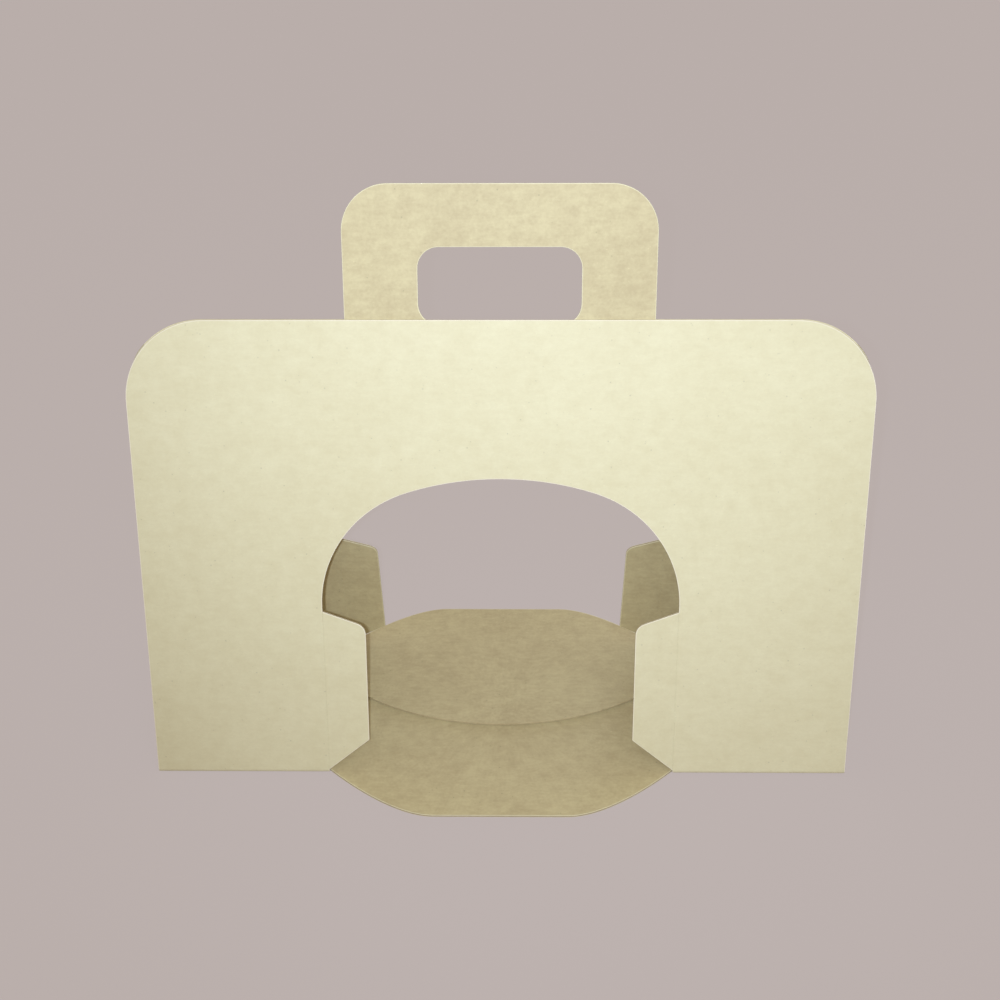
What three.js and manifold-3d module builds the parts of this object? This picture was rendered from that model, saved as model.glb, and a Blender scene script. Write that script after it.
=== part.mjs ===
// Open carrier for an Easter cake, folded from two blanks of thin fluted kraft board.
// Millimetres, +Z up. The front faces -Y, left is -X, and the origin is the centre of the base's underside.
import * as THREE from "three";
import { mergeVertices } from "three/addons/utils/BufferGeometryUtils.js";
import Module from "manifold-3d";

// Board: thickness, inner radius of a fold, and the clearance between two pieces
const BOARD = 1.2;
const FOLD_RADIUS = 0.8;
const GAP = 0.3;

// Walls: width across the carrier, height up the slope, and the depth of the base from fold to fold
const WIDTH = 360;
const WALL_HEIGHT = 241;
const BASE_DEPTH = 112;
const FRONT_CORNER_RADIUS = 40;
const REAR_CORNER_RADIUS = 38.5;

// Window: half width, top of its straight sides, top of its arch and the radius at the crown
const WINDOW_HALF = 90;
const SPRING_HEIGHT = 95;
const ARCH_HEIGHT = 162.5;
const CROWN_RADIUS = 150;

// Ear flaps: how far in they reach, where their corners lie up the wall, and the top corner's radius
const EAR_REACH = 21.5;
const EAR_TOP_OUTER = 92;
const EAR_TOP_INNER = 84;
const EAR_FOOT_INNER = 20;
const REAR_EAR_FOOT_INNER = 16.3;
const EAR_FOOT_OUTER = 2.6;
const EAR_CORNER_RADIUS = 7;

// Lips that the base pushes out through both windows: reach, flat front edge, and how the sides curve
const LIP_REACH = 31.5;
const LIP_FLAT_HALF = 34;
const LIP_EASE = 18;
const LIP_SLANT = 14;

// Base: the rear blank's layer lies on the front blank's, and a round tongue reaches forward from it
const TUCK_CLEARANCE = 6;
const REAR_LAYER_EDGE = 6;
const TONGUE_HALF = 78;
const TONGUE_REACH = 25;

// Ridge: the rear blank turns up behind the front wall, which overlaps it by this much
const RIDGE_LAP = 12;

// Handle: half width, height above the ridge, corners, and the hand hole in it
const HANDLE_HALF = 73.5;
const HANDLE_RISE = 63;
const HANDLE_RADIUS = 22;
const HOLE_HALF = 38.5;
const HOLE_TOP = 34;
const HOLE_BELOW_RIDGE = 2.6;
const HOLE_RADIUS = 10;

// How far a cutting shape stands past what it cuts, past a crease, and how far a joined slab runs in
const PAST = 4;
const CREASE_PAST = 2;
const ROOT = 8;

const ARC_STEPS = 16;
const FOLD_STEPS = 6;

const wasm = await Module();
wasm.setup();

const { sin, cos, tan, asin, atan2, hypot, sqrt, PI } = Math;
const HALF_BOARD = BOARD / 2;
const X_AXIS = new THREE.Vector3(1, 0, 0);
const point = (x, y) => new THREE.Vector2(x, y);

// The front wall leans back until its inner face meets the middle plane at the ridge
const frontLean = asin((BASE_DEPTH / 2 - BOARD) / WALL_HEIGHT);

// Points of the side view are (y, z); this one is on the middle of the front wall, s up its slope
const onFront = (s, inward = 0) => point(
  -BASE_DEPTH / 2 + (HALF_BOARD + inward) * cos(frontLean) + s * sin(frontLean),
  -(HALF_BOARD + inward) * sin(frontLean) + s * cos(frontLean));

// The lap and the handle lie just behind the front wall, and the rear wall rises to the lap's crease
const lapInset = BOARD + GAP;
const creaseHeight = WALL_HEIGHT - RIDGE_LAP;
const crease = onFront(creaseHeight, lapInset);

// The rear layer of the base lies on the front one
const rearLayer = BOARD + GAP;
const rise = hypot(crease.x - BASE_DEPTH / 2, crease.y - rearLayer);
const rearHeight = sqrt(rise ** 2 - HALF_BOARD ** 2);
const rearLean = atan2(BASE_DEPTH / 2 - crease.x, crease.y - rearLayer) - asin(HALF_BOARD / rise);
const rearFoot = point(
  BASE_DEPTH / 2 - HALF_BOARD * cos(rearLean),
  rearLayer - HALF_BOARD * sin(rearLean));

// A plane across the carrier: x runs along the width, and s runs up the slope from a side-view point
const slopeFrame = (foot, lean) => {
  const up = new THREE.Vector3(0, sin(lean), cos(lean));
  const normal = new THREE.Vector3().crossVectors(X_AXIS, up);
  return new THREE.Matrix4().makeBasis(X_AXIS, up, normal).setPosition(0, foot.x, foot.y);
};
const frontFrame = slopeFrame(onFront(0), frontLean);
const lapFrame = slopeFrame(onFront(0, lapInset), frontLean);
const rearFrame = slopeFrame(rearFoot, -rearLean);

// A level plane, and the plane of a side section, whose shape is drawn as (y, z)
const levelFrame = (z) => new THREE.Matrix4().makeTranslation(0, 0, z);
const sectionFrame = new THREE.Matrix4().makeBasis(
  new THREE.Vector3(0, 1, 0), new THREE.Vector3(0, 0, 1), X_AXIS);

// A slab of the given thickness, half of it on each side of its frame's plane
const slab = (shape, thickness, frame) => {
  const options = { depth: thickness, bevelEnabled: false, curveSegments: ARC_STEPS };
  const geometry = new THREE.ExtrudeGeometry(shape, options);
  geometry.translate(0, 0, -thickness / 2);
  return geometry.applyMatrix4(frame);
};

const toSolid = (geometry) => {
  geometry.deleteAttribute("normal");
  geometry.deleteAttribute("uv");
  const merged = mergeVertices(geometry);
  return new wasm.Manifold(new wasm.Mesh({
    numProp: 3,
    vertProperties: new Float32Array(merged.attributes.position.array),
    triVerts: new Uint32Array(merged.index.array),
  }));
};

const toGeometry = (solid) => {
  const mesh = solid.getMesh();
  const geometry = new THREE.BufferGeometry();
  geometry.setAttribute("position", new THREE.BufferAttribute(mesh.vertProperties, 3));
  geometry.setIndex(new THREE.BufferAttribute(mesh.triVerts, 1));
  geometry.computeVertexNormals();
  return geometry;
};

const board = (shape, frame) => toSolid(slab(shape, BOARD, frame));
const cutter = (shape, frame) => toSolid(slab(shape, BOARD + 2 * PAST, frame));

// Side section of a folded sheet whose middle follows the given corners, with a round fold at each
const foldedSection = (corners) => {
  const over = [];
  const under = [];
  const addPair = (x, y, angle) => {
    over.push(point(x - HALF_BOARD * sin(angle), y + HALF_BOARD * cos(angle)));
    under.unshift(point(x + HALF_BOARD * sin(angle), y - HALF_BOARD * cos(angle)));
  };
  const heading = (i) => atan2(corners[i + 1].y - corners[i].y, corners[i + 1].x - corners[i].x);
  const last = corners.length - 1;
  addPair(corners[0].x, corners[0].y, heading(0));
  for (let i = 1; i < last; i += 1) {
    const before = heading(i - 1);
    const turn = atan2(sin(heading(i) - before), cos(heading(i) - before));
    const radius = Math.sign(turn) * (FOLD_RADIUS + HALF_BOARD);
    const tangent = radius * tan(turn / 2);
    const centreX = corners[i].x - tangent * cos(before) - radius * sin(before);
    const centreY = corners[i].y - tangent * sin(before) + radius * cos(before);
    for (let k = 0; k <= FOLD_STEPS; k += 1) {
      const angle = before + (turn * k) / FOLD_STEPS;
      addPair(centreX + radius * sin(angle), centreY - radius * cos(angle), angle);
    }
  }
  addPair(corners[last].x, corners[last].y, heading(last - 1));
  return new THREE.Shape([...over, ...under]);
};
const foldedSheet = (corners) => toSolid(slab(foldedSection(corners), WIDTH, sectionFrame));

// Window in a wall: down to the fold, with straight sides and a three-centred arch
const windowShape = () => {
  const crownCentre = ARCH_HEIGHT - CROWN_RADIUS;
  const drop = SPRING_HEIGHT - crownCentre;
  const spare = CROWN_RADIUS - WINDOW_HALF;
  const shoulder = (CROWN_RADIUS ** 2 - WINDOW_HALF ** 2 - drop ** 2) / (2 * spare);
  const joint = atan2(drop, WINDOW_HALF - shoulder);
  const shape = new THREE.Shape();
  shape.moveTo(-WINDOW_HALF, -PAST);
  shape.lineTo(WINDOW_HALF, -PAST);
  shape.lineTo(WINDOW_HALF, SPRING_HEIGHT);
  shape.absarc(WINDOW_HALF - shoulder, SPRING_HEIGHT, shoulder, 0, joint);
  shape.absarc(0, crownCentre, CROWN_RADIUS, joint, PI - joint);
  shape.absarc(shoulder - WINDOW_HALF, SPRING_HEIGHT, shoulder, PI - joint, PI);
  return shape;
};

// What a rounded top corner takes off a sheet that ends at the given top, between two heights
const cornerWaste = (side, radius, top, from, to) => {
  const outside = WIDTH / 2 + PAST;
  const centre = top - radius;
  const start = asin(Math.max(from - centre, 0) / radius);
  const end = asin(Math.min(to - centre, radius) / radius);
  const points = [point(side * outside, to), point(side * outside, from)];
  for (let k = 0; k <= ARC_STEPS; k += 1) {
    const angle = start + ((end - start) * k) / ARC_STEPS;
    points.push(point(side * (WIDTH / 2 - radius + radius * cos(angle)), centre + radius * sin(angle)));
  }
  if (to > top) {
    points.push(point(side * (WIDTH / 2 - radius), to));
  }
  return new THREE.Shape(points);
};

// What is cut away above the ridge to leave the handle, and the hand hole in it
const handleWaste = () => {
  const outside = WIDTH / 2 + PAST;
  const top = WALL_HEIGHT + HANDLE_RISE;
  const shape = new THREE.Shape();
  shape.moveTo(outside, WALL_HEIGHT);
  shape.lineTo(outside, top + PAST);
  shape.lineTo(-outside, top + PAST);
  shape.lineTo(-outside, WALL_HEIGHT);
  shape.lineTo(-HANDLE_HALF, WALL_HEIGHT);
  shape.absarc(HANDLE_RADIUS - HANDLE_HALF, top - HANDLE_RADIUS, HANDLE_RADIUS, PI, PI / 2, true);
  shape.absarc(HANDLE_HALF - HANDLE_RADIUS, top - HANDLE_RADIUS, HANDLE_RADIUS, PI / 2, 0, true);
  shape.lineTo(HANDLE_HALF, WALL_HEIGHT);
  return shape;
};
const handHole = () => {
  const bottom = WALL_HEIGHT - HOLE_BELOW_RIDGE + HOLE_RADIUS;
  const top = WALL_HEIGHT + HOLE_TOP - HOLE_RADIUS;
  const side = HOLE_HALF - HOLE_RADIUS;
  const shape = new THREE.Shape();
  shape.absarc(side, bottom, HOLE_RADIUS, -PI / 2, 0);
  shape.absarc(side, top, HOLE_RADIUS, 0, PI / 2);
  shape.absarc(-side, top, HOLE_RADIUS, PI / 2, PI);
  shape.absarc(-side, bottom, HOLE_RADIUS, PI, PI * 1.5);
  return shape;
};

// Lip at the fold of a base layer, drawn for the front (side -1) or the rear (side 1)
const lipShape = (side) => {
  const fold = (side * BASE_DEPTH) / 2;
  const edge = fold + side * LIP_REACH;
  const slant = fold + side * LIP_SLANT;
  const shape = new THREE.Shape();
  shape.moveTo(-WINDOW_HALF, fold - side * ROOT);
  shape.lineTo(-WINDOW_HALF, fold);
  shape.bezierCurveTo(LIP_SLANT - WINDOW_HALF, slant, -LIP_FLAT_HALF - LIP_EASE, edge, -LIP_FLAT_HALF, edge);
  shape.lineTo(LIP_FLAT_HALF, edge);
  shape.bezierCurveTo(LIP_FLAT_HALF + LIP_EASE, edge, WINDOW_HALF - LIP_SLANT, slant, WINDOW_HALF, fold);
  shape.lineTo(WINDOW_HALF, fold - side * ROOT);
  return shape;
};

// Round tongue of the rear layer, which lies on the front blank's base
const tongueShape = () => {
  const radius = (TONGUE_HALF ** 2 + TONGUE_REACH ** 2) / (2 * TONGUE_REACH);
  const half = asin(TONGUE_HALF / radius);
  const shape = new THREE.Shape();
  shape.moveTo(-TONGUE_HALF, REAR_LAYER_EDGE + ROOT);
  shape.absarc(0, REAR_LAYER_EDGE - TONGUE_REACH + radius, radius, -PI / 2 - half, -PI / 2 + half);
  shape.lineTo(TONGUE_HALF, REAR_LAYER_EDGE + ROOT);
  return shape;
};

// Ear flap beside the window, hinged on its outer edge, with its top inner corner rounded
const earShape = (side, footInner) => {
  const outer = WINDOW_HALF - GAP;
  const inner = WINDOW_HALF - EAR_REACH;
  const slope = atan2(EAR_TOP_OUTER - EAR_TOP_INNER, outer - inner);
  const setback = EAR_CORNER_RADIUS * tan((PI / 2 - slope) / 2);
  const shape = new THREE.Shape();
  shape.moveTo(side * outer, EAR_FOOT_OUTER);
  shape.lineTo(side * outer, EAR_TOP_OUTER);
  shape.lineTo(side * (inner + setback * cos(slope)), EAR_TOP_INNER + setback * sin(slope));
  shape.quadraticCurveTo(side * inner, EAR_TOP_INNER, side * inner, EAR_TOP_INNER - setback);
  shape.lineTo(side * inner, footInner);
  return shape;
};

const kraft = (colour) => new THREE.MeshStandardMaterial({ color: colour, roughness: 0.85, metalness: 0 });

const carrier = new THREE.Group();
const addPiece = (name, solid, colour) => {
  const mesh = new THREE.Mesh(toGeometry(solid), kraft(colour));
  mesh.name = name;
  carrier.add(mesh);
};

// Front blank: base layer, fold and front wall, with the lip left in the plane of the base
const frontFold = onFront((HALF_BOARD * (1 + sin(frontLean))) / cos(frontLean));
const frontSheet = foldedSheet([
  point(BASE_DEPTH / 2 - TUCK_CLEARANCE, HALF_BOARD), frontFold, onFront(WALL_HEIGHT)]);
const frontBlank = [-1, 1].reduce(
  (solid, side) => solid.subtract(cutter(
    cornerWaste(side, FRONT_CORNER_RADIUS, WALL_HEIGHT, WALL_HEIGHT - FRONT_CORNER_RADIUS, WALL_HEIGHT + PAST),
    frontFrame)),
  frontSheet.subtract(cutter(windowShape(), frontFrame)),
).add(board(lipShape(-1), levelFrame(HALF_BOARD)));
addPiece("front_blank", frontBlank, 0xdcd4ac);

// Rear blank: base layer with its tongue, rear wall, lap behind the front wall, and handle
const rearLevel = rearLayer + HALF_BOARD;
const rearFold = point(BASE_DEPTH / 2 - (HALF_BOARD * (1 + sin(rearLean))) / cos(rearLean), rearLevel);
const rearTop = rearHeight + RIDGE_LAP;
const rearSheet = foldedSheet([
  point(REAR_LAYER_EDGE, rearLevel), rearFold, crease, onFront(WALL_HEIGHT + HANDLE_RISE, lapInset)]);
const rearBlank = [-1, 1].reduce(
  (solid, side) => solid
    .subtract(cutter(
      cornerWaste(side, REAR_CORNER_RADIUS, rearTop, rearTop - REAR_CORNER_RADIUS, rearHeight + CREASE_PAST),
      rearFrame))
    .subtract(cutter(
      cornerWaste(side, REAR_CORNER_RADIUS, WALL_HEIGHT, creaseHeight - CREASE_PAST, WALL_HEIGHT + PAST),
      lapFrame)),
  rearSheet.subtract(cutter(windowShape(), rearFrame)),
)
  .subtract(cutter(handleWaste(), lapFrame))
  .subtract(cutter(handHole(), lapFrame))
  .add(board(lipShape(1), levelFrame(rearLevel)))
  .add(board(tongueShape(), levelFrame(rearLevel)));
addPiece("rear_blank", rearBlank, 0xd6cb9f);

// Ear flaps, one at each side of both windows
for (const [wall, frame, footInner] of [
  ["front", frontFrame, EAR_FOOT_INNER], ["rear", rearFrame, REAR_EAR_FOOT_INNER]]) {
  for (const [hand, side] of [["left", -1], ["right", 1]]) {
    addPiece(`${wall}_${hand}_ear_flap`, board(earShape(side, footInner), frame), 0xd4cca5);
  }
}

export default carrier;
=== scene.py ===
# %% [markdown]
# An open carrier for an Easter cake, folded from two blanks of thin fluted kraft board.
# The frame comes from the CAD part and never moves. Every visible board is cut again here as a
# real sheet with two liners and a waved core, because those cut edges are what makes the object
# look like board and not like plastic.

# %% Load the frame
from math import asin, atan2, copysign, cos, hypot, pi, sin, sqrt, tan

import bmesh
import bpy
from mathutils import Matrix, Vector
from mathutils.geometry import tessellate_polygon


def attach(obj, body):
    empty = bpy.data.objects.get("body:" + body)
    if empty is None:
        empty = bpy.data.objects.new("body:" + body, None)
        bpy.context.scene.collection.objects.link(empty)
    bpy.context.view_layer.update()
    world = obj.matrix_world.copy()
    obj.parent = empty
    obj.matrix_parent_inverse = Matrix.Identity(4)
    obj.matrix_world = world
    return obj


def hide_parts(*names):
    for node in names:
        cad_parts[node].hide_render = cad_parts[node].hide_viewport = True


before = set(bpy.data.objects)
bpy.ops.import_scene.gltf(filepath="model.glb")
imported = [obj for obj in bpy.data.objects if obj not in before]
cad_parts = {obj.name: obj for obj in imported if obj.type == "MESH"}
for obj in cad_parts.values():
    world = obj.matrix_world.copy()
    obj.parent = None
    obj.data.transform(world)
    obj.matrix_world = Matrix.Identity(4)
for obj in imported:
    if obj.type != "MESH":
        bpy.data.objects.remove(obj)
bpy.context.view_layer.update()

# %% [markdown]
# The camera comes first, so that every later choice can be judged in the picture. Its lens, height
# and tilt were fitted to the folds and corners of the real carrier. The picture is square and
# the sensor is 36 mm wide, so the lens follows from the focal length in pixels.

# %% Camera
MM = 0.001
FOCAL_PIXELS = 1390.75
PICTURE_PIXELS = 1000
SENSOR_WIDTH = 36
CAMERA_PLACE = Vector((7.35, -603.25, 504.92)) * MM
CAMERA_PITCH = 31.54
CAMERA_YAW = -0.734
CAMERA_ROLL = -0.307
DEGREE = pi / 180

camera_data = bpy.data.cameras.new("camera")
camera_data.sensor_width = SENSOR_WIDTH
camera_data.lens = FOCAL_PIXELS / PICTURE_PIXELS * camera_data.sensor_width
camera = bpy.data.objects.new("camera", camera_data)
bpy.context.scene.collection.objects.link(camera)
camera.matrix_world = (
    Matrix.Translation(CAMERA_PLACE)
    @ Matrix.Rotation(-CAMERA_YAW * DEGREE, 4, "Z")
    @ Matrix.Rotation((90 - CAMERA_PITCH) * DEGREE, 4, "X")
    @ Matrix.Rotation(CAMERA_ROLL * DEGREE, 4, "Z")
)
bpy.context.scene.camera = camera
print("lens:", round(camera_data.lens, 2), "mm")

# %% [markdown]
# Shader maths is easier to read as arithmetic than as a chain of nodes. This small class holds a
# socket, and Python's operators on it add the Math nodes: a sum, a product, and | for the larger of
# two. Colours stay out of it, because a Math node would turn them grey; they go through Mix nodes.

# %% Shader arithmetic
class Amount:
    def __init__(self, finish, socket):
        self.finish, self.socket = finish, socket

    def _join(self, operation, first, second):
        return self.finish.node("ShaderNodeMath", {"operation": operation}, {0: first, 1: second})

    def __add__(self, other):
        return self._join("ADD", self, other)

    def __mul__(self, other):
        return self._join("MULTIPLY", self, other)

    def __or__(self, other):
        return self._join("MAXIMUM", self, other)

    __radd__ = __add__
    __rmul__ = __mul__


print("shader maths: + adds, * multiplies, | takes the larger")

# %% [markdown]
# A finish is one material, or one world, with its node tree. Its single method for nodes takes the
# node's type, the settings that must be there first, and what goes into each socket, so a whole
# paper recipe fits on a page.

# %% Finish builder
def linear(red, green, blue):
    """An sRGB colour, 0 to 255, as the linear values that Blender works in."""
    def one(value):
        share = value / 255
        return share / 12.92 if share <= 0.04045 else ((share + 0.055) / 1.055) ** 2.4
    return one(red), one(green), one(blue), 1.0


def toned(colour, factor=1, lift=0):
    """A darker or paler colour, kept within 255."""
    return linear(*[min(255, c * factor + lift) for c in colour])


class Finish:
    def __init__(self, name, library=bpy.data.materials):
        self.material = library.new(name)
        self.material.use_nodes = True
        self.tree = self.material.node_tree
        self.tree.nodes.clear()

    def node(self, kind, settings=None, sockets=None, result=0):
        made = self.tree.nodes.new(kind)
        for key, value in (settings or {}).items():
            setattr(made, key, value)
        for key, value in (sockets or {}).items():
            self.plug(made, key, value)
        named = {s.identifier: s for s in made.outputs}
        named |= {s.name: s for s in made.outputs if s.enabled}
        wanted = made.outputs[0] if result == 0 and named else named.get(result)
        return Amount(self, wanted)

    def plug(self, made, key, value):
        if isinstance(key, int):
            socket = made.inputs[key]
        else:
            found = [s for s in made.inputs if s.identifier == key]
            found += [s for s in made.inputs if s.name == key]
            socket = found[0]
        if isinstance(value, Amount):
            self.tree.links.new(value.socket, socket)
        else:
            socket.default_value = value

    def blend(self, share, first, second):
        """A colour that goes from first to second as share goes from 0 to 1."""
        sockets = {"Factor_Float": share, "A_Color": first, "B_Color": second}
        return self.node("ShaderNodeMix", {"data_type": "RGBA"}, sockets, "Result_Color")

    def surface(self, **sockets):
        shader = self.node("ShaderNodeBsdfPrincipled", None, sockets, "BSDF")
        self.node("ShaderNodeOutputMaterial", None, {"Surface": shader})

    def seen(self):
        """1 for what the camera sees, straight or in a gloss, and 0 for light on its way round."""
        camera, gloss, clear = [
            self.node("ShaderNodeLightPath", None, None, f"Is {kind} Ray")
            for kind in ("Camera", "Glossy", "Transmission")]
        return camera | gloss | clear


print("middle grey as a linear value:", round(linear(128, 128, 128)[0], 3))

# %% [markdown]
# Kraft liner is a dense mat of wood fibres. Up close it has soft cloudy patches a few millimetres
# across, fine streaks that run the way the paper web ran through the machine, and scattered specks
# of darker and paler fibre. Object coordinates are used, so the pattern has a real size and stays on
# the board when it moves. The scales are in features per metre: clouds are about 45 mm wide and
# fibres 0.4 mm. A frame squeezed along x draws fibres and streaks out sideways.

# %% Paper finish
CLOUD_SCALE = 22.0
PATCH_SCALE = 150.0
PICK_SCALE = 300.0
STREAK_SCALE = 420.0
SPECK_SCALE = 420.0
FLECK_SCALE = 620.0
FIBRE_SCALE = 2600.0
STREAK_FRAME = (0.3, 1.0, 1.0)
FIBRE_FRAME = (0.25, 1.0, 1.0)
GRAIN = 0.00005


def paper(name, base, cloud, cloud_share, speck_share, roughness):
    """Kraft paper: base colour, the colour of its clouds, and how strong clouds and specks are."""
    made = Finish(name)
    place = made.node("ShaderNodeTexCoord", None, None, "Object")

    def noise(scale, detail, rough, vector=place):
        sockets = {"Vector": vector, "Scale": scale, "Detail": detail, "Roughness": rough}
        return made.node("ShaderNodeTexNoise", None, sockets, "Fac")

    def between(value, low, high, start=0.0, end=1.0):
        sockets = {"Value": value, "From Min": low, "From Max": high, "To Min": start, "To Max": end}
        return made.node("ShaderNodeMapRange", None, sockets)

    def squeezed(scale):
        return made.node("ShaderNodeMapping", None, {"Vector": place, "Scale": scale})

    wide = noise(CLOUD_SCALE, 3.0, 0.55)
    patches = noise(PATCH_SCALE, 3.0, 0.6)
    flecks = noise(FLECK_SCALE, 3.0, 0.6)
    streaks = noise(STREAK_SCALE, 3.0, 0.6, squeezed(STREAK_FRAME))
    fibres = noise(FIBRE_SCALE, 2.0, 0.6, squeezed(FIBRE_FRAME))
    mottled = wide * 0.26 + patches * 0.3 + flecks * 0.22 + streaks * 0.22
    clouds = between(mottled, 0.4, 0.6) * cloud_share
    tone = made.blend(clouds, toned(base), toned(cloud))
    tone = made.blend(between(fibres, 0.3, 0.7, 0.0, 0.22), tone, toned(base, 0.93))

    # Each cell has one speck at its middle, and a slow noise picks which of them are dark or pale.
    cells = made.node("ShaderNodeTexVoronoi", None, {"Vector": place, "Scale": SPECK_SCALE}, "Distance")
    pick = noise(PICK_SCALE, 1.0, 0.5)
    spots = between(cells, 0.08, 0.2, 1.0, 0.0)
    dark = spots * between(pick, 0.6, 0.68) * speck_share
    pale = spots * between(pick, 0.3, 0.38, 1.0, 0.0) * (speck_share * 0.5)
    tone = made.blend(dark, tone, toned(base, 0.8))
    tone = made.blend(pale, tone, toned(base, 1.06, 4))

    height = fibres * 0.5 + flecks * 0.7 + patches * 0.8
    bump = made.node(
        "ShaderNodeBump", None, {"Height": height, "Strength": 0.4, "Distance": GRAIN}, "Normal")
    sheen = fibres * 0.16 + (roughness - 0.08)
    made.surface(**{"Base Color": tone, "Roughness": sheen, "Normal": bump})
    return made.material


liner_outside = paper("kraft_liner_outside", (230, 224, 188), (221, 213, 175), 0.9, 0.6, 0.5)
liner_inside = paper("kraft_liner_inside", (213, 201, 158), (193, 178, 138), 1.0, 0.8, 0.6)
# The cut-edge paper is paler than the liner: partly the cut fibre, partly a painted highlight where each
# cut catches the light.
pale_edge_and_highlight = paper("kraft_cut_edge_and_highlight", (247, 240, 218), (238, 230, 203), 0.6, 0.3, 0.7)
# The core's dark tone is partly its own paper and partly painted shade on the cut edges it covers.
core_paper_and_edge_shade = paper("kraft_core_and_edge_shade", (196, 181, 145), (176, 160, 122), 0.7, 0.4, 0.8)
print("finishes:", [m.name for m in (liner_outside, liner_inside, pale_edge_and_highlight, core_paper_and_edge_shade)])

# %% [markdown]
# The sizes repeat the part's own driving sizes, in millimetres, so that every sheet lands exactly
# where the CAD node is. The wall's lean and the crease follow from them, as they do when the real
# blanks are folded and locked.

# %% Sizes of the carrier
BOARD = 1.2
HALF_BOARD = BOARD / 2
FOLD_RADIUS = 0.8
GAP = 0.3
WIDTH = 360
HALF_WIDTH = WIDTH / 2
WALL_HEIGHT = 241
BASE_DEPTH = 112
FRONT_CORNER_RADIUS = 40
REAR_CORNER_RADIUS = 38.5
WINDOW_HALF = 90
SPRING_HEIGHT = 95
ARCH_HEIGHT = 162.5
CROWN_RADIUS = 150
EAR_REACH = 21.5
EAR_TOP_OUTER = 92
EAR_TOP_INNER = 84
EAR_FOOT_INNER = 20
REAR_EAR_FOOT_INNER = 16.3
EAR_FOOT_OUTER = 2.6
EAR_CORNER_RADIUS = 7
LIP_REACH = 31.5
LIP_FLAT_HALF = 34
LIP_EASE = 18
LIP_SLANT = 14
TUCK_CLEARANCE = 6
REAR_LAYER_EDGE = 6
TONGUE_HALF = 78
TONGUE_REACH = 25
RIDGE_LAP = 12
HANDLE_HALF = 73.5
HANDLE_RISE = 63
HANDLE_RADIUS = 22
HOLE_HALF = 38.5
HOLE_TOP = 34
HOLE_BELOW_RIDGE = 2.6
HOLE_RADIUS = 10

front_lean = asin((BASE_DEPTH / 2 - BOARD) / WALL_HEIGHT)
lap_inset = BOARD + GAP
crease_height = WALL_HEIGHT - RIDGE_LAP
rear_layer = BOARD + GAP


def on_front(up_slope, inward=0.0):
    """A point (y, z) on the middle of the front wall, so far up its slope."""
    out = HALF_BOARD + inward
    return (-BASE_DEPTH / 2 + out * cos(front_lean) + up_slope * sin(front_lean),
            -out * sin(front_lean) + up_slope * cos(front_lean))


crease = on_front(crease_height, lap_inset)
rise = hypot(crease[0] - BASE_DEPTH / 2, crease[1] - rear_layer)
rear_height = sqrt(rise**2 - HALF_BOARD**2)
rear_lean = atan2(BASE_DEPTH / 2 - crease[0], crease[1] - rear_layer) - asin(HALF_BOARD / rise)
print("leans:", round(front_lean / DEGREE, 2), round(rear_lean / DEGREE, 2), "degrees")

# %% [markdown]
# A folded sheet could be modelled as flat panels turned into place, but then each fold is a sharp
# seam. Here the whole blank is drawn flat, as the die cuts it, and each point is then carried along
# a path that runs straight up each panel and turns through a small arc at each crease.

# %% Fold path
class FoldPath:
    """The middle of a sheet in the side view. A point is so far along it, and so far off its middle."""

    def __init__(self, corners):
        radius = FOLD_RADIUS + HALF_BOARD
        headings = [atan2(b[1] - a[1], b[0] - a[0]) for a, b in zip(corners, corners[1:])]
        self.parts, self.turns = [], []
        start, along, cut = corners[0], 0.0, 0.0
        for i, heading in enumerate(headings):
            reach = hypot(corners[i + 1][0] - corners[i][0], corners[i + 1][1] - corners[i][1])
            turn, ease = 0.0, 0.0
            if i + 1 < len(headings):
                turn = atan2(sin(headings[i + 1] - heading), cos(headings[i + 1] - heading))
                ease = radius * tan(abs(turn) / 2)
            self.parts.append((along, start, heading, 0.0))
            length = reach - cut - ease
            along += length
            start = (start[0] + length * cos(heading), start[1] + length * sin(heading))
            if turn:
                bend = radius if turn > 0 else -radius
                self.turns.append((along, along + radius * abs(turn)))
                self.parts.append((along, start, heading, bend))
                along += radius * abs(turn)
                side = (start[0] - bend * sin(heading), start[1] + bend * cos(heading))
                after = heading + turn
                start = (side[0] + bend * sin(after), side[1] - bend * cos(after))
            cut = ease
        self.length = along

    def at(self, along):
        """(y, z, heading) at a distance along the path; it runs on straight past both ends."""
        part = self.parts[0]
        for candidate in self.parts:
            if along >= candidate[0]:
                part = candidate
        begin, (y, z), heading, bend = part
        gone = along - begin
        if not bend:
            return y + gone * cos(heading), z + gone * sin(heading), heading
        now = heading + gone / bend
        return (y + bend * (sin(now) - sin(heading)), z - bend * (cos(now) - cos(heading)), now)

    def place(self, across, along, off):
        """The point in metres; off is towards the side on the left of the path."""
        y, z, heading = self.at(along)
        return Vector((across, y - off * sin(heading), z + off * cos(heading))) * MM


def flat_place(path, across, along, off):
    """The point in metres on the lip, which runs straight on from the base."""
    begin, (y, z), heading, _ = path.parts[0]
    return Vector((across, y + (along - begin) * cos(heading), z + off * cos(heading))) * MM


def fold_corner(lean, level, side):
    """Where the middle of a base layer meets the middle of its wall."""
    reach = HALF_BOARD * (1 + sin(lean)) / cos(lean)
    if side < 0:
        return on_front(reach)
    return BASE_DEPTH / 2 - reach, level


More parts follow.
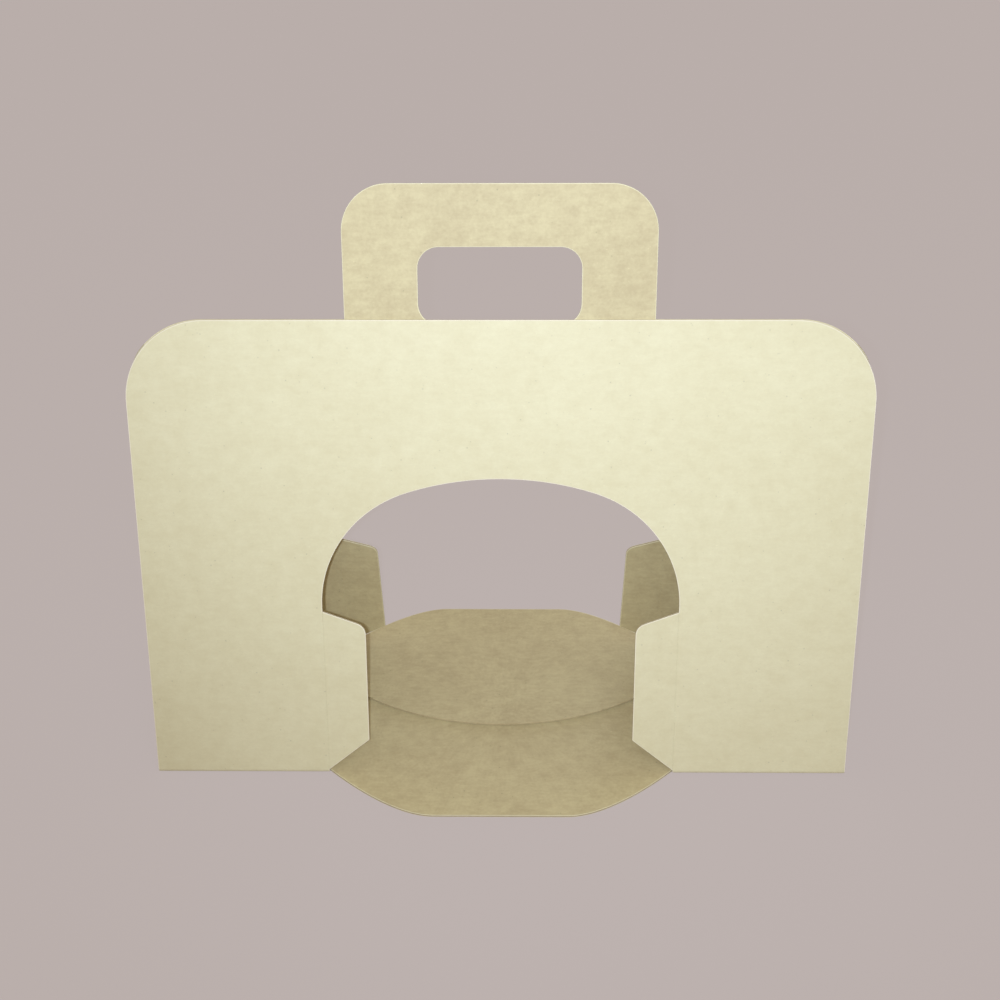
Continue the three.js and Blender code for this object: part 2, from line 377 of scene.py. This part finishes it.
front_path = FoldPath([
    (BASE_DEPTH / 2 - TUCK_CLEARANCE, HALF_BOARD), fold_corner(front_lean, HALF_BOARD, -1),
    on_front(WALL_HEIGHT)])
rear_path = FoldPath([
    (REAR_LAYER_EDGE, rear_layer + HALF_BOARD), fold_corner(rear_lean, rear_layer + HALF_BOARD, 1),
    crease, on_front(WALL_HEIGHT + HANDLE_RISE, lap_inset)])
front_fold = front_path.turns[0][0]
rear_fold = rear_path.turns[0][0]
front_foot = front_path.length - WALL_HEIGHT
rear_crease = rear_path.length - (WALL_HEIGHT + HANDLE_RISE - crease_height)
rear_foot = rear_crease - rear_height
lap_foot = rear_crease - crease_height
rear_top = rear_crease + RIDGE_LAP
print("blank lengths:", round(front_path.length, 1), round(rear_path.length, 1), "mm")

# %% [markdown]
# The outlines are what the die cuts: lines, arcs and one smooth S from the flat lip to the corner of
# the window. They are lists of points in the flat blank, x across it and y along it, close enough
# together on the curves that no corner shows.

# %% Outline helpers
ARC_STEP = 1.6
SAME_POINT = 0.01


def arc(centre_x, centre_y, radius, start, end):
    """Points of an arc, in degrees, close together enough to look round."""
    count = max(4, int(abs(end - start) * DEGREE * radius / ARC_STEP))
    angles = [(start + (end - start) * k / count) * DEGREE for k in range(count + 1)]
    return [(centre_x + radius * cos(a), centre_y + radius * sin(a)) for a in angles]


def s_curve(p0, p1, p2, p3, count=24):
    """Points of a smooth curve from p0 to p3 that sets out towards p1 and comes in from p2."""
    made = []
    for k in range(count + 1):
        t = k / count
        weights = ((1 - t) ** 3, 3 * t * (1 - t) ** 2, 3 * t * t * (1 - t), t**3)
        pulls = list(zip(weights, (p0, p1, p2, p3)))
        made.append(tuple(sum(w * p[axis] for w, p in pulls) for axis in (0, 1)))
    return made


def tidy_loop(points):
    """The same loop without points that fall on the one before."""
    kept = []
    for p in points:
        if not kept or hypot(p[0] - kept[-1][0], p[1] - kept[-1][1]) > SAME_POINT:
            kept.append(p)
    if hypot(kept[0][0] - kept[-1][0], kept[0][1] - kept[-1][1]) < SAME_POINT:
        kept.pop()
    return kept


def window_loop(foot, fold, edge):
    """The window, down to the fold, with the lip standing in it: one hole in the blank."""
    crown = foot + ARCH_HEIGHT - CROWN_RADIUS
    spring = foot + SPRING_HEIGHT
    drop = spring - crown
    shoulder = (CROWN_RADIUS**2 - WINDOW_HALF**2 - drop**2) / (2 * (CROWN_RADIUS - WINDOW_HALF))
    meet = atan2(drop, WINDOW_HALF - shoulder) / DEGREE
    right = arc(WINDOW_HALF - shoulder, spring, shoulder, 0, meet)
    top = arc(0, crown, CROWN_RADIUS, meet, 180 - meet)
    left = arc(shoulder - WINDOW_HALF, spring, shoulder, 180 - meet, 180)
    slant = fold + LIP_SLANT
    lip_left = s_curve((-WINDOW_HALF, fold), (LIP_SLANT - WINDOW_HALF, slant),
                       (-LIP_FLAT_HALF - LIP_EASE, edge), (-LIP_FLAT_HALF, edge))
    lip_right = [(-x, y) for x, y in reversed(lip_left)]
    ear = [(WINDOW_HALF, foot + EAR_FOOT_OUTER), (WINDOW_HALF, foot + EAR_TOP_OUTER)]
    ear_left = [(-x, y) for x, y in reversed(ear)]
    return tidy_loop(lip_left + lip_right + ear + right + top + left + ear_left)


front_lip = BASE_DEPTH - TUCK_CLEARANCE + LIP_REACH
rear_lip = BASE_DEPTH / 2 - REAR_LAYER_EDGE + LIP_REACH
front_window = window_loop(front_foot, front_fold, front_lip)
rear_window = window_loop(rear_foot, rear_fold, rear_lip)
print("window points:", len(front_window), len(rear_window))

# %% Outlines of the two blanks
front_right = arc(HALF_WIDTH - FRONT_CORNER_RADIUS, front_path.length - FRONT_CORNER_RADIUS,
                  FRONT_CORNER_RADIUS, 0, 90)
front_left = [(-x, y) for x, y in reversed(front_right)]
front_outline = tidy_loop([(-HALF_WIDTH, 0.0), (HALF_WIDTH, 0.0)] + front_right + front_left)

tongue_radius = (TONGUE_HALF**2 + TONGUE_REACH**2) / (2 * TONGUE_REACH)
tongue_swing = asin(TONGUE_HALF / tongue_radius) / DEGREE
tongue = arc(0, tongue_radius - TONGUE_REACH, tongue_radius, -90 - tongue_swing, -90 + tongue_swing)
handle_top = rear_path.length
rear_right = arc(HALF_WIDTH - REAR_CORNER_RADIUS, rear_top - REAR_CORNER_RADIUS,
                 REAR_CORNER_RADIUS, 0, 90)
rear_right += [(HANDLE_HALF, rear_top)]
rear_right += arc(HANDLE_HALF - HANDLE_RADIUS, handle_top - HANDLE_RADIUS, HANDLE_RADIUS, 0, 90)
rear_left = [(-x, y) for x, y in reversed(rear_right)]
rear_outline = tidy_loop(
    [(-HALF_WIDTH, 0.0)] + tongue + [(HALF_WIDTH, 0.0)] + rear_right + rear_left)

hole_low = lap_foot + WALL_HEIGHT - HOLE_BELOW_RIDGE + HOLE_RADIUS
hole_high = lap_foot + WALL_HEIGHT + HOLE_TOP - HOLE_RADIUS
hole_side = HOLE_HALF - HOLE_RADIUS
hand_hole = tidy_loop(
    arc(hole_side, hole_low, HOLE_RADIUS, -90, 0) + arc(hole_side, hole_high, HOLE_RADIUS, 0, 90)
    + arc(-hole_side, hole_high, HOLE_RADIUS, 90, 180) + arc(-hole_side, hole_low, HOLE_RADIUS, 180, 270))
print("outline points:", len(front_outline), len(rear_outline), len(hand_hole))

# %% [markdown]
# An ear flap is the board beside the straight part of the window. It is creased where it meets the
# wall, so that it can fold in and hug the cake. It could stay in the wall's blank, but then it
# couldn't turn, so it is a sheet of its own, cut free along its crease by a slit too thin to see.

# %% Outline of an ear
CREASE_SLIT = 0.03
KNEE_PULL = 2 / 3


def ear_outline(side, foot, foot_inner):
    """An ear flap beside the window, with its top inner corner rounded."""
    outer = WINDOW_HALF - CREASE_SLIT
    inner = WINDOW_HALF - EAR_REACH
    slope = atan2(EAR_TOP_OUTER - EAR_TOP_INNER, outer - inner)
    setback = EAR_CORNER_RADIUS * tan((pi / 2 - slope) / 2)
    knee = (inner, foot + EAR_TOP_INNER)
    high = (inner + setback * cos(slope), knee[1] + setback * sin(slope))
    low = (inner, knee[1] - setback)
    mid1 = tuple(a + (b - a) * KNEE_PULL for a, b in zip(high, knee))
    mid2 = tuple(a + (b - a) * KNEE_PULL for a, b in zip(low, knee))
    points = [(outer, foot + EAR_FOOT_OUTER), (outer, foot + EAR_TOP_OUTER)]
    points += s_curve(high, mid1, mid2, low, 8) + [(inner, foot + foot_inner)]
    if side < 0:
        return [(-x, y) for x, y in points]
    return list(reversed(points))


print("ear outline points:", len(ear_outline(1, front_foot, EAR_FOOT_INNER)))

# %% [markdown]
# Fluted board is two liners with a waved paper between them, and the die nips that core back a
# little from the cut. One solid slab would show a plain flat rim, so each sheet is three slabs: the
# two liners cut to the outline and the core cut a hair smaller, all bent over the same path. The
# flat outline is filled with triangles and sliced at each step of a fold, so the folds are round.
# The die also presses the board down along each cut. On the walls that pressed rim takes a paler colour,
# partly the crushed fibre and partly a painted highlight where the cut catches the light. At the crease
# of an ear only the outer liner is pressed, and its colour stays. NIP is how far the core stays back,
# RIM the width of the pressed strip, NIPPED its depth, and CREASED the share of it at a crease.

# %% Sheet values
LINER = 0.24
NIP = 0.14
RIM = 0.34
NIPPED = 0.08
CREASED = 0.9
BEND_STEPS = 8
FACE, INSIDE, EDGE, CORE = range(4)
# A pressed rim on the walls takes the next paler colour, a painted highlight along the cut.
RIM_OF = {FACE: EDGE, INSIDE: FACE, CORE: CORE}
print("liner, core and liner:", LINER, round(BOARD - 2 * LINER, 2), LINER, "mm")

# %% Loops of a flat sheet
FOLDED_BACK = 0.2
MITRE_LEAST = 0.35
CLOSE = 0.1


def area(loop):
    """The area inside a loop; it is negative where the loop runs clockwise."""
    return sum(p[0] * q[1] - q[0] * p[1] for p, q in zip(loop, loop[1:] + loop[:1])) / 2


def shrink(loop, amount):
    """A loop moved into the sheet; an outline runs one way round and a hole the other."""
    moved = []
    for before, here, after in zip(loop[-1:] + loop[:-1], loop, loop[1:] + loop[:1]):
        a = Vector((here[0] - before[0], here[1] - before[1])).normalized()
        b = Vector((after[0] - here[0], after[1] - here[1])).normalized()
        left = Vector((-a.y - b.y, a.x + b.x))
        if left.length < FOLDED_BACK:
            left = Vector((-a.y, a.x))
        left.normalize()
        reach = amount / max(MITRE_LEAST, left.dot(Vector((-a.y, a.x))))
        moved.append((here[0] + left.x * reach, here[1] + left.y * reach))
    return moved


def turned(loop, counter_clockwise):
    """The loop, run the way round that is asked for."""
    return loop if (area(loop) > 0) == counter_clockwise else list(reversed(loop))


def creased(foot):
    """Tells whether a point lies on the crease of an ear, where the board is pressed and not cut."""
    def at(x, y):
        on_ear = foot + EAR_FOOT_OUTER - CLOSE < y < foot + EAR_TOP_OUTER + CLOSE
        return on_ear and abs(abs(x) - WINDOW_HALF) < CLOSE
    return at


front_area = abs(area(front_outline)) - abs(area(front_window))
rear_area = abs(area(rear_outline)) - abs(area(rear_window)) - abs(area(hand_hole))
print("board in the two blanks:", round(front_area / 100), round(rear_area / 100), "square cm")

# %% Flat region
SLICE_REACH = 1e-5


def flat_region(loops, rim, crease_at):
    """A flat filled region with the outermost strip, rim wide, marked in the two layers it returns:
    how far a corner is pressed down, from 0 to 1, and whether a face lies along a real cut."""
    flat = bmesh.new()
    height = flat.verts.layers.float.new("rim")
    strip = flat.faces.layers.int.new("strip")
    inner = [shrink(loop, rim) for loop in loops] if rim else loops
    made = [[flat.verts.new((x, y, 0.0)) for x, y in loop] for loop in inner]
    corners = [v for loop in made for v in loop]
    for triangle in tessellate_polygon([[v.co for v in loop] for loop in made]):
        flat.faces.new([corners[i] for i in triangle])
    if rim:
        for loop, row in zip(loops, made):
            outer = [flat.verts.new((x, y, 0.0)) for x, y in loop]
            for v in outer:
                v[height] = CREASED if crease_at(v.co.x, v.co.y) else 1.0
            for i in range(len(loop)):
                k = (i + 1) % len(loop)
                cut = max(outer[i][height], outer[k][height]) == 1.0
                flat.faces.new([outer[i], outer[k], row[k], row[i]])[strip] = int(cut)
    return flat, height, strip


def slice_at_folds(flat, path):
    """Slices a flat region at each step of each fold and turns all its faces up."""
    for begin, end in path.turns:
        for k in range(BEND_STEPS + 1):
            at = begin + (end - begin) * k / BEND_STEPS
            everything = flat.verts[:] + flat.edges[:] + flat.faces[:]
            bmesh.ops.bisect_plane(
                flat, geom=everything, plane_co=(0, at, 0), plane_no=(0, 1, 0), dist=SLICE_REACH)
    bmesh.ops.recalc_face_normals(flat, faces=flat.faces[:])
    if sum(f.normal.z * f.calc_area() for f in flat.faces) < 0:
        bmesh.ops.reverse_faces(flat, faces=flat.faces[:])
    flat.verts.index_update()


print("each fold is cut into", BEND_STEPS, "steps")

# %% Slab of a sheet
LEVEL_ERROR = 1e-6


def slab(target, path, loops, low, high, slots, lip, crease_at, rim=0.0):
    """Adds one slab of a sheet to a mesh: filled, sliced at the folds, thickened and bent.
    Where it has a rim, its outer face is nipped down along every cut, as the die leaves it."""
    flat, height, strip = flat_region(loops, rim, crease_at)
    slice_at_folds(flat, path)
    rows = []
    for level in (low, high):
        row = []
        outside = abs(level) > HALF_BOARD - LEVEL_ERROR
        pressed = copysign(NIPPED, level) if outside else 0.0
        for v in flat.verts:
            share = v[height] if v[height] == 1.0 or FACE in slots else 0.0
            place = flat_place if lip and lip(v.co.x, v.co.y) else FoldPath.place
            row.append(target.verts.new(place(path, v.co.x, v.co.y, level - pressed * share)))
        rows.append(row)
    under, over = rows

    # Rims on the walls take paler colours, partly pressed fibre and partly a painted highlight along each
    # cut;
    # on the base, cut sides take the dark core colour as painted shade for the thin shadow line along
    # them.
    fold = path.turns[0][0]
    for face in flat.faces:
        ids = [v.index for v in face.verts]
        nipped = face[strip] == 1 and face.calc_center_median().y > fold
        below, above = [RIM_OF[slot] if nipped else slot for slot in slots[:2]]
        target.faces.new([over[i] for i in ids]).material_index = above
        target.faces.new([under[i] for i in reversed(ids)]).material_index = below
    for edge in flat.edges:
        if len(edge.link_loops) == 1:
            loop = edge.link_loops[0]
            a, b = loop.vert.index, loop.link_loop_next.vert.index
            # On the base a cut side gets the core colour as painted shade.
            shaded_base_edge = max(v.co.y for v in edge.verts) < fold
            side = target.faces.new([under[a], under[b], over[b], over[a]])
            side.material_index = CORE if shaded_base_edge else slots[2]
    flat.free()


print("rim pressed:", NIPPED, "mm deep and", RIM, "mm wide")

# %% [markdown]
# The waved core shows only where the die cut it. It is a strip that follows the cut and swings
# between the liners with the distance across the flutes, which run up the walls: on a cut across the
# flutes it is a wave, and along them it is straight, as in real board. Geometry Nodes suit this,
# because one rule follows every edge. The path carries the distance, the sheet's normal and the way
# in. The core's paper keeps a hair's clearance from both liners at its crests.

# %% Flute tree
FLUTE_ROOM = 0.22
NIPS_DEEP = 1.8
FLUTE_PITCH = 2.4 * MM
FLUTE_SWING = (BOARD - 2 * LINER - FLUTE_ROOM) / 2 * MM
FLUTE_PAPER = 0.2 * MM
FLUTE_DEPTH = NIP * NIPS_DEEP * MM
MERGE_REACH = 2e-6


def flute_tree():
    """The rule that draws the waved core along a path: shift each point, then give it depth."""
    tree = bpy.data.node_groups.new("flutes_along_a_cut", "GeometryNodeTree")
    tree.is_modifier = True
    face = tree.interface
    face.new_socket("Geometry", in_out="INPUT", socket_type="NodeSocketGeometry")
    for name in ("Pitch", "Swing", "Paper", "Depth"):
        face.new_socket(name, in_out="INPUT", socket_type="NodeSocketFloat")
    face.new_socket("Material", in_out="INPUT", socket_type="NodeSocketMaterial")
    face.new_socket("Geometry", in_out="OUTPUT", socket_type="NodeSocketGeometry")

    def add(kind, settings=None, sockets=None):
        made = tree.nodes.new(kind)
        for key, value in (settings or {}).items():
            setattr(made, key, value)
        for key, value in (sockets or {}).items():
            socket = made.inputs[key]
            if isinstance(value, bpy.types.NodeSocket):
                tree.links.new(value, socket)
            else:
                socket.default_value = value
        return made

    def maths(operation, first, second=None):
        sockets = {0: first} if second is None else {0: first, 1: second}
        return add("ShaderNodeMath", {"operation": operation}, sockets).outputs[0]

    def scaled(vector, amount):
        sockets = {"Vector": vector, "Scale": amount}
        return add("ShaderNodeVectorMath", {"operation": "SCALE"}, sockets).outputs[0]

    given = add("NodeGroupInput").outputs
    named = {}
    for name, kind in (("across", "FLOAT"), ("sheet_normal", "FLOAT_VECTOR"), ("way_in", "FLOAT_VECTOR")):
        reader = add("GeometryNodeInputNamedAttribute", {"data_type": kind}, {"Name": name})
        named[name] = reader.outputs[0]
    phase = maths("MULTIPLY", maths("DIVIDE", named["across"], given["Pitch"]), 2 * pi)
    swing = maths("MULTIPLY", maths("SINE", phase), given["Swing"])
    start = maths("SUBTRACT", swing, maths("MULTIPLY", given["Paper"], 0.5))
    shift = add("ShaderNodeVectorMath", {"operation": "ADD"}, {
        0: scaled(named["sheet_normal"], start), 1: scaled(named["way_in"], given["Depth"])}).outputs[0]
    waved = add("GeometryNodeSetPosition", None, {
        "Geometry": given["Geometry"], "Offset": shift}).outputs[0]
    strip = add("GeometryNodeExtrudeMesh", {"mode": "EDGES"}, {
        "Mesh": waved, "Offset": named["sheet_normal"], "Offset Scale": given["Paper"]}).outputs[0]
    outwards = scaled(named["way_in"], -1.0)
    block = add("GeometryNodeExtrudeMesh", {"mode": "FACES"}, {
        "Mesh": strip, "Offset": outwards, "Offset Scale": given["Depth"],
        "Individual": False}).outputs[0]
    back = add("GeometryNodeFlipFaces", None, {"Mesh": strip}).outputs[0]
    both = add("GeometryNodeJoinGeometry")
    tree.links.new(back, both.inputs[0])
    tree.links.new(block, both.inputs[0])
    merged = add("GeometryNodeMergeByDistance", None, {
        "Geometry": both.outputs[0], "Distance": MERGE_REACH}).outputs[0]
    real = add("GeometryNodeRealizeInstances", None, {"Geometry": merged}).outputs[0]
    painted = add("GeometryNodeSetMaterial", None, {
        "Geometry": real, "Material": given["Material"]}).outputs[0]
    tree.links.new(painted, add("NodeGroupOutput").inputs[0])
    return tree


flutes = flute_tree()
print("flute tree nodes:", len(flutes.nodes))

# %% Flutes along the cuts of a sheet
CUT_STEP = 0.4
STRAIGHT_STEP = 12.0
ALONG_FLUTES = 0.02


def walk(loop):
    """Evenly spaced points of a loop, each with the direction that points into the sheet."""
    made = []
    for before, here, after in zip(loop[-1:] + loop[:-1], loop, loop[1:] + loop[:1]):
        run = Vector((after[0] - here[0], after[1] - here[1]))
        step = CUT_STEP if abs(run.x) > ALONG_FLUTES * run.length else STRAIGHT_STEP
        count = max(1, int(run.length / step))
        way = run.normalized()
        at_corner = (way + Vector((here[0] - before[0], here[1] - before[1])).normalized()).normalized()
        for k in range(count):
            now = way if k else at_corner
            made.append((here[0] + run.x * k / count, here[1] + run.y * k / count, -now.y, now.x))
    return made


def cut_flutes(name, path, loops, lip):
    """The waved core as it shows along every cut of one sheet, as a plain mesh."""
    points, pairs, across, normals, ways = [], [], [], [], []
    for loop in loops:
        first = len(points)
        walked = walk(loop)
        for x, y, in_x, in_y in walked:
            flat = lip and lip(x, y)
            place = flat_place if flat else FoldPath.place
            middle = place(path, x, y, 0.0)
            heading = path.parts[0][2] if flat else path.at(y)[2]
            points.append(middle)
            normals.append((place(path, x, y, 1.0) - middle).normalized())
            ways.append(Vector((in_x, in_y * cos(heading), in_y * sin(heading))))
            across.append(x * MM)
        count = len(walked)
        pairs += [(first + k, first + (k + 1) % count) for k in range(count)]
    mesh = bpy.data.meshes.new(name)
    mesh.from_pydata(points, pairs, [])
    for label, values in (("sheet_normal", normals), ("way_in", ways)):
        layer = mesh.attributes.new(label, "FLOAT_VECTOR", "POINT")
        layer.data.foreach_set("vector", [c for v in values for c in v])
    mesh.attributes.new("across", "FLOAT", "POINT").data.foreach_set("value", across)
    made = bpy.data.objects.new(name, mesh)
    bpy.context.scene.collection.objects.link(made)
    modifier = made.modifiers.new("flutes", "NODES")
    modifier.node_group = flutes
    given = {
        "Pitch": FLUTE_PITCH, "Swing": FLUTE_SWING, "Paper": FLUTE_PAPER, "Depth": FLUTE_DEPTH,
        "Material": core_paper_and_edge_shade}
    for item in flutes.interface.items_tree:
        if item.in_out == "INPUT" and item.name in given:
            modifier[item.identifier] = given[item.name]
    seen = made.evaluated_get(bpy.context.evaluated_depsgraph_get())
    final = bpy.data.meshes.new_from_object(seen)
    made.modifiers.remove(modifier)
    made.data = final
    return made


print("points along the hand hole's cut:", len(walk(hand_hole)))

# %% [markdown]
# Here the helpers come together. Three slabs and the waves make one sheet, which takes the place of
# its plain CAD node and moves with that node's body. One joined object would do as well, but the
# waves come out of Geometry Nodes as a mesh of their own, so they stay one and ride along.

# %% Cut a sheet
OVERLAP = 0.01
LIP_MARGIN = 0.5
OFF_FOLD = 1e-4
OFF_SIDE = 1e-3


def cut_sheet(name, path, foot, loops, lip, body, node, finishes):
    """One board piece, with its liners, core and waved cut edges, standing for its CAD node."""
    outline = turned(loops[0], True)
    holes = [turned(loop, False) for loop in loops[1:]]
    edges = [outline] + holes
    core = [shrink(loop, NIP) for loop in edges]
    mesh = bmesh.new()
    inner = HALF_BOARD - LINER
    crease_at = creased(foot)
    slab(mesh, path, edges, -HALF_BOARD, -inner, (finishes[0], CORE, EDGE), lip, crease_at, RIM)
    slab(mesh, path, edges, inner, HALF_BOARD, (CORE, finishes[1], EDGE), lip, crease_at, RIM)
    slab(mesh, path, core, -inner - OVERLAP, inner + OVERLAP, (CORE, CORE, CORE), lip, crease_at)
    data = bpy.data.meshes.new(name)
    mesh.to_mesh(data)
    mesh.free()
    for material in (liner_outside, liner_inside, pale_edge_and_highlight, core_paper_and_edge_shade):
        data.materials.append(material)
    piece = bpy.data.objects.new(name, data)
    bpy.context.scene.collection.objects.link(piece)
    waves = cut_flutes(name + "_flutes", path, edges, lip)
    for made in (piece, waves):
        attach(made, body)
    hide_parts(node)
    print(name, len(data.polygons), "faces,", name + "_flutes", len(waves.data.polygons), "faces")


def in_lip(fold, edge):
    """Tells whether a point of a blank lies on its lip, which stays flat where the wall turns up."""
    def at(x, y):
        return fold + OFF_FOLD < y < edge + LIP_MARGIN and abs(x) < WINDOW_HALF - OFF_SIDE
    return at


# %% [markdown]
# The two blanks ride on the carrier's body and each ear on its own, so that the ears can turn at
# their creases. Along its path, the front blank has its outside on the left and the rear blank on
# the right, so the two swap their papers.

# %% The six sheets
cut_sheet("front_board", front_path, front_foot, [front_outline, front_window],
          in_lip(front_fold, front_lip), "carrier", "front_blank", (INSIDE, FACE))
cut_sheet("rear_board", rear_path, rear_foot, [rear_outline, rear_window, hand_hole],
          in_lip(rear_fold, rear_lip), "carrier", "rear_blank", (FACE, INSIDE))
for wall, path, foot, low, finishes in (
        ("front", front_path, front_foot, EAR_FOOT_INNER, (INSIDE, FACE)),
        ("rear", rear_path, rear_foot, REAR_EAR_FOOT_INNER, (FACE, INSIDE))):
    for hand, side in (("left", -1), ("right", 1)):
        cut_sheet(f"{wall}_{hand}_ear", path, foot, [ear_outline(side, foot, low)], None,
                  f"{wall}_{hand}_ear", f"{wall}_{hand}_ear_flap", finishes)

# %% [markdown]
# The photograph's ground is one flat pale tone, with hardly a shadow. The floor is one wide sheet, and
# what the camera sees of it is mostly a plain glow in that tone; the rest is matte, so that a trace
# of shadow stays. Light on its way round meets the matte floor alone. The sky works in the same way:
# a flat backdrop for the camera and a soft warm light for everything else.

# %% Floor
BACKGROUND = (187, 176, 173)
FLOOR_MATTE = (190, 181, 184)
FLOOR_GLOW = (192, 181, 178)
GLOW_SHARE = 0.86
FLOOR_REACH = 8

floor_mesh = bpy.data.meshes.new("floor")
around = [(-1, -1), (1, -1), (1, 1), (-1, 1)]
floor_mesh.from_pydata([(x * FLOOR_REACH, y * FLOOR_REACH, 0) for x, y in around], [], [(0, 1, 2, 3)])
floor = bpy.data.objects.new("floor", floor_mesh)
bpy.context.scene.collection.objects.link(floor)
floor_finish = Finish("plain_floor")
matte = floor_finish.node("ShaderNodeBsdfDiffuse", None, {"Color": linear(*FLOOR_MATTE)}, "BSDF")
glow = floor_finish.node("ShaderNodeEmission", None, {"Color": linear(*FLOOR_GLOW)}, "Emission")
share = floor_finish.seen() * GLOW_SHARE
mixed = floor_finish.node("ShaderNodeMixShader", None, {0: share, 1: matte, 2: glow})
floor_finish.node("ShaderNodeOutputMaterial", None, {"Surface": mixed})
floor_mesh.materials.append(floor_finish.material)
print("floor:", 2 * FLOOR_REACH, "m wide")

# %% Sky
SKY_TINT = (1.0, 0.83, 0.6, 1.0)
SKY_STRENGTH = 0.42

sky = Finish("soft_sky", bpy.data.worlds)
soft = sky.node("ShaderNodeBackground", None, {"Color": SKY_TINT, "Strength": SKY_STRENGTH})
backdrop = sky.node("ShaderNodeBackground", None, {"Color": linear(*BACKGROUND), "Strength": 1.0})
air = sky.node("ShaderNodeMixShader", None, {0: sky.seen(), 1: soft, 2: backdrop})
sky.node("ShaderNodeOutputWorld", None, {"Surface": air})
bpy.context.scene.world = sky.material
print("sky:", sky.material.name)

# %% [markdown]
# The photograph has a thin dark line beside each edge that stands before another surface, as a flash
# beside the lens leaves it. So the main lamp is tiny, level with the lens and 14 mm to its left, and
# its beam is aimed high, so that the board darkens towards the foot. A broad lamp fills in from in
# front, and a weak low sun behind keeps the back from going dark.

# %% Lamps
def lamp_at(name, kind, energy, colour, place, aim, **sizes):
    """A lamp at a place in metres, turned to a point."""
    data = bpy.data.lights.new(name, kind)
    data.energy = energy
    data.color = colour
    for key, value in sizes.items():
        setattr(data, key, value)
    lamp = bpy.data.objects.new(name, data)
    bpy.context.scene.collection.objects.link(lamp)
    turn = (Vector(aim) - Vector(place)).to_track_quat("-Z", "Y").to_matrix().to_4x4()
    lamp.matrix_world = Matrix.Translation(place) @ turn


lamp_at(
    "near_light", "SPOT", energy=13.1, colour=(0.88, 1.0, 1.17), place=(-0.007, -0.605, 0.502),
    aim=(0.05, 0, 0.3), spot_size=80 * DEGREE, spot_blend=1.0, shadow_soft_size=0.004)
lamp_at(
    "broad_light", "AREA", energy=0.72, colour=(0.9, 1.0, 1.15), place=(0.1, -0.56, 0.58),
    aim=(0.03, 0, 0.22), shape="DISK", size=0.3)
lamp_at(
    "back_light", "SUN", energy=0.85, colour=(0.95, 1.0, 1.08), place=(0.35, 2.0, 0.28),
    aim=(0, 0, 0.1), angle=20 * DEGREE)

bpy.context.scene.view_settings.view_transform = "Standard"
